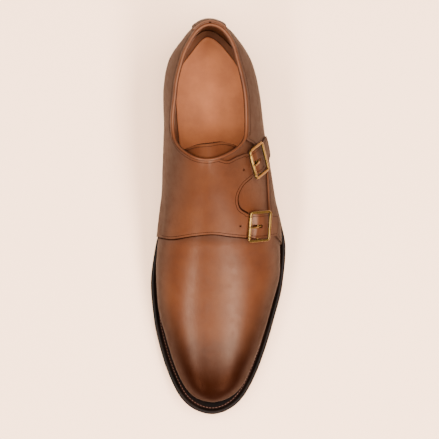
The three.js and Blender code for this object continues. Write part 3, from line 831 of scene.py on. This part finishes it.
class Strap:
    """A strap's middle line on the last, and the place of its buckle.

    root and tip are (y, side) on the last, buckle_at and spare (the spare hole) are mm from the root,
    tip_slant is how far the tip leans in mm, and turn is the buckle's turn in degrees."""

    def __init__(self, name, root, tip, buckle_at, tip_slant, spare, turn):
        self.name = name
        self.turn = turn
        self.buckle_at = buckle_at
        self.tip_slant = tip_slant
        self.spare = spare
        t = np.linspace(0, 1, 257)
        y = root[0] + (tip[0] - root[0]) * t
        side = root[1] + (tip[1] - root[1]) * t
        angle = last.angle(y)
        self.base = last_point(angle, side)
        self.normal = shell_normal(angle, side)
        self.run = measured(self.base)[1]
        self.length = self.run[-1]
        self.tangent = unit(np.gradient(self.base, axis=0))
        self.across = unit(np.cross(self.normal, self.tangent))

    def stop(self, length):
        return int(np.abs(self.run - length).argmin())

    def local(self, p):
        """Distances along and across the strap for points on the last."""
        flat = p.reshape(-1, 3)
        along = np.full(len(flat), -99.0)
        across = np.full(len(flat), 99.0)
        low = self.base.min(axis=0) - 16
        high = self.base.max(axis=0) + 16
        # Worked out in batches, because every point is compared with every stop.
        near = np.nonzero(((flat > low) & (flat < high)).all(axis=1))[0]
        for start in range(0, len(near), 4000):
            rows = near[start:start + 4000]
            gap = flat[rows][:, None, :] - self.base[None, ::4]
            k = (gap ** 2).sum(axis=2).argmin(axis=1) * 4
            away = flat[rows] - self.base[k]
            along[rows] = self.run[k] + (away * self.tangent[k]).sum(axis=1)
            across[rows] = (away * self.across[k]).sum(axis=1)
        return along.reshape(p.shape[:-1]), across.reshape(p.shape[:-1])

    def half(self, along):
        taper = smoothstep(self.buckle_at + TAPER_AFTER_BUCKLE, self.length, along)
        return STRAP_HALF + (STRAP_TIP_HALF - STRAP_HALF) * taper

    def region(self, p):
        along, across = self.local(p)
        end = self.length + self.tip_slant * across / STRAP_HALF
        dx = along - (end - TIP_CORNER)
        dy = np.abs(across) - (self.half(along) - TIP_CORNER)
        corner = np.hypot(np.maximum(dx, 0), np.maximum(dy, 0)) + np.minimum(np.maximum(dx, dy), 0)
        return np.maximum(corner - TIP_CORNER, -along)

    def holes(self, p):
        """Positive inside the prong's slot and the spare hole."""
        along, across = self.local(p)
        mid = (SLOT_FROM + SLOT_TO) / 2
        reach = (SLOT_TO - SLOT_FROM) / 2 - SLOT_HALF
        beyond = np.maximum(np.abs(along - self.buckle_at - mid) - reach, 0)
        slot = SLOT_HALF - np.hypot(beyond, across)
        spare = SPARE_HOLE_RADIUS - np.hypot(along - self.spare, across)
        return np.maximum(slot, spare)

    def seat(self):
        """The buckle's place, its axes (X along the strap, Y across it, Z outwards), and the last's level."""
        def top(e):
            k = self.stop(self.buckle_at + e)
            return self.base[k] + self.normal[k] * (strap_lift(e) + STRAP)
        near, far = top(-BAR_AT), top(BAR_AT)
        k = self.stop(self.buckle_at)
        x = (far - near) / np.linalg.norm(far - near)
        z = unit(np.cross(x, self.across[k]))
        origin = (near + far) / 2
        floor = (self.base[k] - origin).dot(z)
        y = np.cross(z, x)
        turn = math.radians(self.turn)
        x, y = x * math.cos(turn) + y * math.sin(turn), y * math.cos(turn) - x * math.sin(turn)
        return origin, np.stack([x, y, z]), floor


STRAPS = [
    Strap("lower", (-3.9, 0.2), (-3.7, 0.6), 17.5, 0.8, 2.2, 3.5),
    Strap("upper", (36.5, 0.31), (57.5, 0.72), 19.5, 0.8, 2.6, 1.5),
]


def flap_outline(p):
    region = np.maximum(outline_distance(p[..., :2], MEDIAL_QUARTER), above_top_line(p))
    for strap in STRAPS:
        region = np.minimum(region, strap.region(p))
    return region


def medial_quarter(p):
    region = flap_outline(p)
    for strap in STRAPS:
        region = np.maximum(region, strap.holes(p))
    return region


def on_straps(p):
    """For each strap: itself, the places along and across it, and which points it covers."""
    for strap in STRAPS:
        along, across = strap.local(p)
        yield strap, along, across, (along > 1) & (np.abs(across) < STRAP_HALF + 1.5)


def flap_low(a, s):
    """Underside of the flap with its straps."""
    low = np.full(len(a), GAP)
    for strap, along, _, on in on_straps(last_point(a, s)):
        low = np.where(on, np.maximum(low, strap_lift(along - strap.buckle_at)), low)
    return low


def flap_high(a, s):
    """Top of the flap: folded leather, and straps crowned across their width."""
    p = last_point(a, s)
    high = flap_low(a, s) + QUARTER + folds(p)
    for _, along, across, on in on_straps(p):
        share = np.clip(across / STRAP_HALF, -1, 1)
        crown = STRAP_CROWN * (1 - share * share) * smoothstep(2, 10, along)
        high = high + np.where(on, crown, 0)
    return high


def spaced(stops):
    """Values from stop to stop, each stretch with its own number of steps."""
    rows = [np.array([stops[0][0]])]
    for (start, _), (end, count) in zip(stops, stops[1:]):
        rows.append(np.linspace(start, end, count + 1)[1:])
    return np.concatenate(rows)


# --- upper, quarters, tongue
WHOLE = Grid(np.linspace(0, np.pi, 201), np.linspace(-1, 1, 105))
FINE = Grid(
    spaced([(0, 0), (float(last.angle(64)), 62), (float(last.angle(-20)), 140), (np.pi, 60)]),
    spaced([(-1, 0), (-0.1, 44), (0.12, 20), (0.78, 110), (1, 10)]),
)
EDGED = [FLAP_LEATHER, CUT_EDGE]


def leather_piece(name, grid, region, low, high, materials, *nodes, rounded=0, segments=2):
    """A sheet of leather as a finished piece in place of CAD nodes, its cut edge rounded in mm."""
    piece = leather_sheet(name, grid, region, low, high, materials)
    if rounded:
        soften(piece, rounded, segments)
    finish_piece(piece, "upper_leather", *nodes)


# The flap's stitches and the painted shadow band under its edge stop short of the far inner side,
# the heel and the foot line.
ROWS_SIDE = -45
ROWS_HEEL = 72
ROWS_FOOT = 22
BAND_PAST_EDGE = 1.3
BAND_UNDER = 2.5
BAND_HEEL = 40


def edge_shadow_band(p):
    """A narrow near-black sheet under the flap's edges and just past them: painted shadow under the edge."""
    plan = outline_distance(p[..., :2], MEDIAL_QUARTER)
    band = np.maximum(plan - BAND_PAST_EDGE, -plan - BAND_UNDER)
    limits = np.maximum(ROWS_FOOT - p[..., 2], p[..., 1] - BAND_HEEL)
    return np.maximum(np.maximum(band, above_top_line(p)), limits)


STAY_LOW = QUARTER_TOP + GAP
STAY_TOP = STAY_LOW + BACK_STAY
TONGUE_TOP = -WALL - GAP

leather_piece("upper_vamp_and_lining", WHOLE, above_top_line, -WALL, vamp_top,
              [UPPER_LEATHER, LINING_AND_SHADE], "upper")
leather_piece("quarter_inner_flap_straps", FINE, medial_quarter, flap_low, flap_high, EDGED, "quarter_medial",
              rounded=0.4)
# A near-black sheet under the flap's edges: painted shadow.
leather_piece("flap_edge_shadow_band", FINE, edge_shadow_band, 0.03, GAP - 0.02, [RECESS_SHADE])
leather_piece("quarter_outer", WHOLE, lateral_quarter, GAP, QUARTER_TOP, EDGED, "quarter_lateral",
              rounded=0.4)
leather_piece("back_stay_strip", WHOLE, back_stay, STAY_LOW, STAY_TOP, EDGED, "back_stay", rounded=0.35)
leather_piece("tongue_lined", FINE, tongue, TONGUE_TOP - TONGUE, TONGUE_TOP,
              [TONGUE_LEATHER, LINING_AND_SHADE], "tongue", rounded=0.7, segments=3)

# Rolled collar: one bead round the whole opening, in the lighter calf copy that paints the highlight on the
# rim.
rim_params, rim_faces = WHOLE.cut(above_top_line)
rim_loops = [loop for loop in loops_of(boundary(rim_faces)) if np.abs(rim_params[loop, 1]).max() < 0.99]
rim_loop = max(rim_loops, key=len)
rim_a, rim_s = rim_params[rim_loop, 0], rim_params[rim_loop, 1]
rim_path = resample(shell_point(rim_a, rim_s, np.full(len(rim_a), -0.1)), 1.6, closed=True)
rim_path = relax(rim_path, 6, closed=True)
rim = mesh_object("collar_rolled_edge", *tube(rim_path, 1.35, sides=12, closed=True), [RIM_LEATHER])
finish_piece(rim, "upper_leather")


# --- stitched rows
def flap_rows(p):
    """Where the flap's edge is sewn."""
    return (p[..., 0] > ROWS_SIDE) & (p[..., 1] < ROWS_HEEL) & (p[..., 2] > ROWS_FOOT)


def stitched(name, runs, pitch=1.5, length=1.05, width=0.46, material=THREAD, groove=0.22):
    """Rows of stitches, each on a near-black strip, the painted shade of the groove its thread presses in."""
    finish_piece(mesh_object(name, *stitches(runs, pitch, length, width), [material]), "upper_leather")
    lines = []
    for p, n in runs:
        path = resample(p, 1.0)
        nearest = ((path[:, None, :] - p[None]) ** 2).sum(axis=2).argmin(axis=1)
        lines.append(tube(path, groove, normals=n[nearest], flat=0.3, sides=6))
    finish_piece(mesh_object(name + "_groove", *join(lines), [RECESS_SHADE]), "upper_leather")


stitched("stitches_flap_and_straps", contour(FINE, flap_outline, 1.6, flap_high, flap_rows), groove=0.2)
stitched("stitches_quarter_outer", contour(FINE, lateral_quarter, 1.8, QUARTER_TOP, lambda p: p[..., 1] < 66))
stitched("stitches_collar", contour(WHOLE, above_top_line, 3.2, QUARTER_TOP, lambda p: p[..., 1] > 63))
stitched("stitches_back_stay", contour(WHOLE, back_stay, 1.5, STAY_TOP, lambda p: p[..., 2] > 20))
stitched("stitches_tongue", contour(FINE, tongue, 1.8, TONGUE_TOP, lambda p: p[..., 1] > 48))


# --- the bottom of the shoe
def sole_edge(angle, inset=0.0):
    """Medial and lateral points of the sole's outline, drawn in along its normal."""
    def at(a):
        y = sole.y(a)
        return np.stack([np.stack([sole.med(a), y], -1), np.stack([sole.lat(a), y], -1)])

    angle = np.asarray(angle, float)
    a = np.clip(angle, 0.03, np.pi - 0.03)
    along = unit(at(a + 0.02) - at(a - 0.02))
    inward = np.stack([-along[..., 1], along[..., 0]], -1)
    inward[1] *= -1
    inward[:, angle < 1e-6] = (0, -1)
    inward[:, angle > np.pi - 1e-6] = (0, 1)
    return at(angle) + inward * np.asarray(inset, float)


def foot_edge(offset):
    """The outline of the last's foot, moved outwards by an offset."""
    def edge(angle, inset=0.0):
        level = np.full(np.shape(angle), float(offset) - inset)
        sides = [np.full(np.shape(angle), side) for side in (-1.0, 1.0)]
        return np.stack([shell_point(angle, side, level)[..., :2] for side in sides])
    return edge


def plate(name, edge, low, high, profile, materials, limit=None, columns=16, rows=150,
          top_slot=0, under_slot=0, dish=0.0):
    """A plate with a worked edge: profile rows are (inset, share of the height, extra height)."""
    share = (1 - np.cos(np.linspace(0, np.pi, rows + 1))) / 2 * 0.35 + np.linspace(0, 1, rows + 1) * 0.65
    level = limit or (lambda z: np.pi)

    def line(inset, part, extra):
        y = sole.y(share * level(0.0))
        z = low(y) + part * (high(y) - low(y)) + extra
        angle = share * np.vectorize(level)(z)
        pair = edge(angle, inset)
        z = low(pair[0][:, 1]) + part * (high(pair[0][:, 1]) - low(pair[0][:, 1])) + extra
        return [np.concatenate([side, z[:, None]], axis=1) for side in pair]

    edges = [line(*step) for step in profile]
    left = [e[0] for e in edges]
    right = [e[1] for e in edges]
    inner = np.linspace(0, 1, columns + 1)[1:-1]

    def across(a, b, height, sag):
        lines = []
        for t in inner:
            p = a + (b - a) * t
            p[:, 2] = height(p[:, 1]) - sag * math.sin(math.pi * t)
            lines.append(p)
        return lines

    top_extra = profile[-1][2]
    under_extra = profile[0][2]
    ring = left + across(left[-1], right[-1], lambda y: high(y) + top_extra, dish)
    ring += right[::-1] + across(right[0], left[0], lambda y: low(y) + under_extra, 0)
    size = len(ring)
    points = np.stack(ring, axis=1).reshape(-1, 3)
    slots = [0] * size
    for j in range(len(left) - 1, len(left) + len(inner)):
        slots[j] = top_slot
    for j in range(2 * len(left) + len(inner) - 1, size):
        slots[j] = under_slot
    return mesh_object(name, points, ring_faces(rows + 1, size), materials, slots * rows + [0, 0], 35)


def sole_top(y):
    return under_sole(y) + OUTSOLE


def welt_low(y):
    return sole_top(y) + GAP


def welt_top(y):
    return welt_low(y) + WELT


ROUNDED = [
    (0.7, 0, 0), (0.25, 0, 0.18), (0.0, 0, 0.65), (0.0, 0.5, 0), (0.0, 1, -0.5), (0.2, 1, -0.15), (0.6, 1, 0),
]
outsole = plate("outsole_leather", sole_edge, under_sole, sole_top, ROUNDED, [SOLE_EDGE, SOLE_DARK, TREAD],
                top_slot=1, under_slot=2)
finish_piece(outsole, "sole_leather", "outsole")

insole = plate("insole_board", foot_edge(-WALL - GAP), welt_low, lambda y: welt_low(y) + INSOLE,
               [(0.3, 0, 0), (0, 0, 0.3), (0, 1, -0.4), (0.4, 1, 0)], [LINING_AND_SHADE], dish=0.5)
finish_piece(insole, "lining_leather", "insole")
SOCK_LOW = INSOLE + 0.05
SOCK_TOP = SOCK_LOW + 0.9
SOCK_EDGE = [(0.1, 0, 0), (0, 0, 0.1), (0, 1, -0.35), (0.35, 1, 0)]
# The sock is cut well inside the insole, so a band of the dark board shows round it: painted shade inside the
# collar.
sock = plate("sock_lining", foot_edge(-WALL - 5.5), lambda y: welt_low(y) + SOCK_LOW,
             lambda y: welt_low(y) + SOCK_TOP, SOCK_EDGE, [SOCK], dish=0.5)
finish_piece(sock, "lining_leather")

# Welt: a section with rounded edge, ridge, groove and stitch seat, carried round the outline.
WELT_STEPS = 260
FULL_MARGIN = 6.4
SEWN_MARGIN = 3.6
SEAT_INSET = 3.1
OUTER_EDGE_ROWS = 7
WELT_SECTION = [
    (0.25, -2.7), (0.0, -2.35), (0.0, -0.95), (0.14, -0.42), (0.5, -0.1), (0.95, 0.0), (1.5, -0.03),
    (1.85, -0.3), (2.15, -0.45), (2.45, -0.3), (2.8, -0.03), (3.3, 0.0),
]


def loop_points(edge, inset=0.0):
    """An outline as one closed loop, down the inner side and back up the outer one."""
    half = np.linspace(0, np.pi, WELT_STEPS + 1)
    med, lat = edge(half, inset)
    return np.concatenate([med, lat[-2:0:-1]])


welt_outer = loop_points(sole_edge)
welt_inner = loop_points(foot_edge(-WALL))
inward = loop_points(sole_edge, 1.0) - welt_outer
margin = np.linalg.norm(welt_inner - welt_outer, axis=1)
room = np.clip(margin / FULL_MARGIN, 0.2, 1.6)
section = []
for inset, drop in WELT_SECTION:
    place = welt_outer + inward * (inset * room)[:, None]
    section.append(np.column_stack([place, welt_top(place[:, 1]) + drop * np.where(drop > -0.9, room, 1)]))
for drop in (0.0, -WELT):
    section.append(np.column_stack([welt_inner, welt_top(welt_inner[:, 1]) + drop]))
count = len(section)
stops = len(welt_outer)
welt_slots = [1 if j < OUTER_EDGE_ROWS else 0 for j in range(count)] * stops
welt_points = np.stack(section, axis=1).reshape(-1, 3)
welt = mesh_object("welt_strip", welt_points, ring_faces(stops, count, closed=True),
                   [SOLE_DARK, WELT_EDGE], welt_slots)
finish_piece(welt, "sole_leather", "welt")
seat = welt_outer + inward * (SEAT_INSET * room)[:, None]
seat = np.column_stack([seat, welt_top(seat[:, 1]) + 0.02])
upright = np.tile([0.0, 0, 1], (stops, 1))
sewn = [(seat[run], upright[run]) for run in stretches(range(stops), margin > SEWN_MARGIN)]
stitched("stitches_welt", sewn, 2.5, 1.9, 0.8, WELT_THREAD, groove=0.55)


# --- heel
BREAST_TOP = 40
BREAST_LEAN = 2 / 41


def breast_angle(z):
    return float(sole.angle(HEEL_BREAST + BREAST_LEAN * (BREAST_TOP - z)))


STACK_LOW = TOP_PIECE + GAP
LIFTS = 3
TAPER_AT_JOINT = 1 + HEEL_TAPER * 0.75
TOP_PIECE_INSET = 3.0


def heel_lift(name, low, high, inset, materials):
    profile = [(inset + 0.5, 0, 0), (inset + 0.15, 0, 0.15), (inset, 0, 0.45), (inset, 1, -0.45),
               (inset + 0.12, 1, -0.14), (inset + 0.45, 1, 0)]
    return plate(name, sole_edge, low, high, profile, materials, limit=breast_angle, columns=8, rows=70)


def stack_level(part):
    """A level in the heel stack, from its foot at 0 to the sole at 1."""
    return lambda y: STACK_LOW + (under_sole(y) - GAP - STACK_LOW) * part


for k in range(LIFTS):
    inset = TAPER_AT_JOINT + (1 - TAPER_AT_JOINT) * (k + 0.5) / LIFTS
    lift = heel_lift(f"heel_lift_{k + 1}", stack_level(k / LIFTS), stack_level((k + 1) / LIFTS), inset,
                     [HEEL_EDGE])
    finish_piece(lift, "sole_leather", "heel_stack")
top_piece = heel_lift("heel_top_piece_rubber", lambda y: y * 0.0, lambda y: y * 0.0 + TOP_PIECE,
                      TOP_PIECE_INSET, [RUBBER])
finish_piece(top_piece, "heel_rubber", "heel_top_piece")


# --- buckles
def rounded_path(half_x, half_y, radius, steps=8):
    path = []
    for cx, cy, start in ((1, 1, 0), (-1, 1, 90), (-1, -1, 180), (1, -1, 270)):
        for k in range(steps + 1):
            t = math.radians(start + 90 * k / steps)
            x = cx * (half_x - radius) + radius * math.cos(t)
            path.append((x, cy * (half_y - radius) + radius * math.sin(t)))
    return path


SQUARENESS = 0.55


def bar_sweep(path, half_wide, half_thick, sides=16):
    """A bar with rounded-rectangle section along a flat path."""
    pts = np.array(path, float)
    verts = []
    for p, t in zip(pts, unit(np.gradient(pts, axis=0))):
        across = np.array([t[1], -t[0], 0])
        for j in range(sides):
            u = 2 * math.pi * (j + 0.5) / sides
            cu, su = math.cos(u), math.sin(u)
            wide = half_wide * math.copysign(abs(cu) ** SQUARENESS, cu)
            thick = half_thick * math.copysign(abs(su) ** SQUARENESS, su)
            verts.append(p + across * wide + np.array([0, 0, thick]))
    return np.array(verts), ring_faces(len(pts), sides)


def cylinder_y(radius, half, at, sides=20, rounding=0.3):
    """A rod or roller across the strap, with rounded rims, at a place (x, z)."""
    eased = rounding * 0.3
    rim = [(half - rounding, radius), (half - eased, radius - eased), (half, radius - rounding)]
    rings = [(-y, r) for y, r in reversed(rim)] + rim
    verts = [
        (at[0] + r * math.cos(2 * math.pi * j / sides), y, at[1] + r * math.sin(2 * math.pi * j / sides))
        for y, r in rings for j in range(sides)
    ]
    return np.array(verts), ring_faces(len(rings), sides)


def seated(part, strap_seat):
    origin, axes, _ = strap_seat
    return origin + np.asarray(part[0]) @ axes, part[1]


SIDE_AT = FRAME_WIDE / 2 - FRAME_BAR / 2
OPEN_END = ROLLER_LONG / 2 + GAP
CORNER = 2.0
BAR_CLEARANCE = 0.05


def frame_shape(bar_mid):
    """The open frame, the roller's rod across its gap, and the centre bar slung between its sides."""
    ring = rounded_path(BAR_AT, SIDE_AT, CORNER)
    first = [p[0] < 0 and p[1] < 0 for p in ring].index(True)
    path = [(-BAR_AT, -OPEN_END)] + ring[first:] + ring[:first] + [(-BAR_AT, OPEN_END)]
    path = resample([(x, y, FRAME_MID) for x, y in path], 0.45)
    frame_bar = bar_sweep(path, FRAME_BAR / 2 - 0.12, FRAME_THICK / 2 - 0.05)
    rod = cylinder_y(ROD_RADIUS, OPEN_END + 0.6, (-BAR_AT, FRAME_MID), 12, 0.1)
    end = [(SIDE_AT - 1.3, bar_mid), (SIDE_AT - 0.5, bar_mid + 0.2), (SIDE_AT, bar_mid + 0.8),
           (SIDE_AT, FRAME_MID - 0.4)]
    slung = [(0, -y, z) for y, z in reversed(end)] + [(0, y, z) for y, z in end]
    slung = resample(slung, 0.5)
    along_strap = np.tile([1.0, 0, 0], (len(slung), 1))
    return join([frame_bar, rod, tube(slung, CENTRE_BAR / 2 - 0.02, normals=along_strap, sides=12)])


def prong_shape(bar_mid):
    """Hooked round the centre bar, through the strap's slot, and resting on the roller."""
    reach = CENTRE_BAR / 2 * math.sqrt(2) + GAP + 0.42
    turns = [math.radians(t) for t in range(-40, 101, 14)]
    path = [(reach * math.cos(t), 0, bar_mid + reach * math.sin(t)) for t in turns]
    rest = PRONG_LOW + PRONG / 2 - 0.1
    path += [(-2.6, 0, (path[-1][2] + rest) / 2 + 0.5), (-5.0, 0, rest - 0.1), (-BAR_AT, 0, rest + 0.05),
             (-BAR_AT - 1.2, 0, rest - 0.1), (-BAR_AT - 2.0, 0, rest - 0.45)]
    path = relax(resample(path, 0.35), 5)
    part = np.linspace(0, 1, len(path))
    thick = 0.74 - 0.18 * smoothstep(0.55, 1.0, part) - 0.22 * smoothstep(0.97, 1.0, part)
    return tube(path, thick, normals=np.tile([0.0, 1, 0], (len(path), 1)), flat=0.98, sides=14)


def buckle(strap):
    place = strap.seat()
    bar_mid = place[2] + GAP + BAR_CLEARANCE + CENTRE_BAR / 2
    shapes = {
        "frame": frame_shape(bar_mid),
        "roller": cylinder_y(ROLLER_RADIUS, ROLLER_LONG / 2, (-BAR_AT, FRAME_MID), 24),
        "prong": prong_shape(bar_mid),
    }
    for part, shape in shapes.items():
        node = f"buckle_{part}_{strap.name}"
        finish_piece(mesh_object(node + "_brass", *seated(shape, place), [BRASS]), "antique_brass", node)


TAB_HALF = 6.5
TAB_FROM = -1.2
TAB_TO = 13
TAB_THICK = 0.3
TAB_ON_BAR = 2.2
TAB_ON_QUARTER = 1.62
TAB_SLOT_TO = 2.6


def buckle_tab(strap):
    """The short leather tab that ties the centre bar down to the outer quarter."""
    def region(p):
        along, across = strap.local(p)
        from_bar = along - strap.buckle_at
        slot = np.minimum(SLOT_HALF - np.abs(across), TAB_SLOT_TO - from_bar)
        outline = np.maximum(np.abs(across) - TAB_HALF, np.maximum(TAB_FROM - from_bar, from_bar - TAB_TO))
        return np.maximum(outline, slot)

    def low(a, s):
        along, _ = strap.local(last_point(a, s))
        return TAB_ON_BAR + (TAB_ON_QUARTER - TAB_ON_BAR) * smoothstep(0.6, 6, along - strap.buckle_at)

    def high(a, s):
        return low(a, s) + TAB_THICK

    leather_piece(f"buckle_tab_{strap.name}", FINE, region, low, high, EDGED)


for strap in STRAPS:
    buckle(strap)
    buckle_tab(strap)


# --- camera, lights, floor
def floor_sheet():
    half = 3.0
    corners = [(-half, -half, 0), (half, -half, 0), (half, half, 0), (-half, half, 0)]
    mesh = bpy.data.meshes.new("floor")
    mesh.from_pydata(corners, [], [(0, 1, 2, 3)])
    paper = Surface("floor_paper")
    paper.set("Base Color", paper.mix(paper.noise(6, 3), (0.92, 0.595, 0.405), (0.94, 0.615, 0.425)))
    paper.set("Roughness", 0.9)
    mesh.materials.append(paper.material)
    floor = placed("floor", mesh)


def aimed(obj, at, target):
    """Turns a light or camera to its target with its own Y towards the heel."""
    aim = (Vector(target) - Vector(at)).normalized()
    right = aim.cross(Vector((0, 1, 0))).normalized()
    obj.matrix_world = Matrix.Translation(at) @ Matrix((right, right.cross(aim), -aim)).transposed().to_4x4()
    return obj


def area_light(name, at, target, size_x, size_y, power):
    data = bpy.data.lights.new(name, "AREA")
    data.shape = "RECTANGLE"
    data.size = size_x
    data.size_y = size_y
    data.energy = power
    data.color = (1, 0.96, 0.91)
    aimed(placed(name, data), at, target)


# The photo's camera hangs level, off to the inner side of the shoe, and looks down.
CAMERA_AT = (-0.0556 + SHIFT.x / 1000, -0.0024 + SHIFT.y / 1000, 1.4)
CAMERA_TARGET = (0.0, 0.0, 0.03)
CAMERA_LENS = 145
floor_sheet()
camera = bpy.data.cameras.new("camera")
camera.sensor_width = 36
camera.lens = CAMERA_LENS
bpy.context.scene.camera = aimed(placed("camera", camera), CAMERA_AT, CAMERA_TARGET)
area_light("key_left", (-0.70, -0.25, 1.35), (0, -0.05, 0.05), 0.22, 2.2, 62)
area_light("key_right", (0.56, -0.30, 1.32), (0, -0.05, 0.05), 0.34, 2.2, 80)
area_light("top_soft", (-0.05, 0.1, 2.6), (0, 0, 0), 1.2, 1.6, 70)

world = bpy.data.worlds.new("studio")
bpy.context.scene.world = world
world.use_nodes = True
background = world.node_tree.nodes["Background"]
background.inputs["Color"].default_value = (1.0, 0.93, 0.86, 1)
background.inputs["Strength"].default_value = 0.75
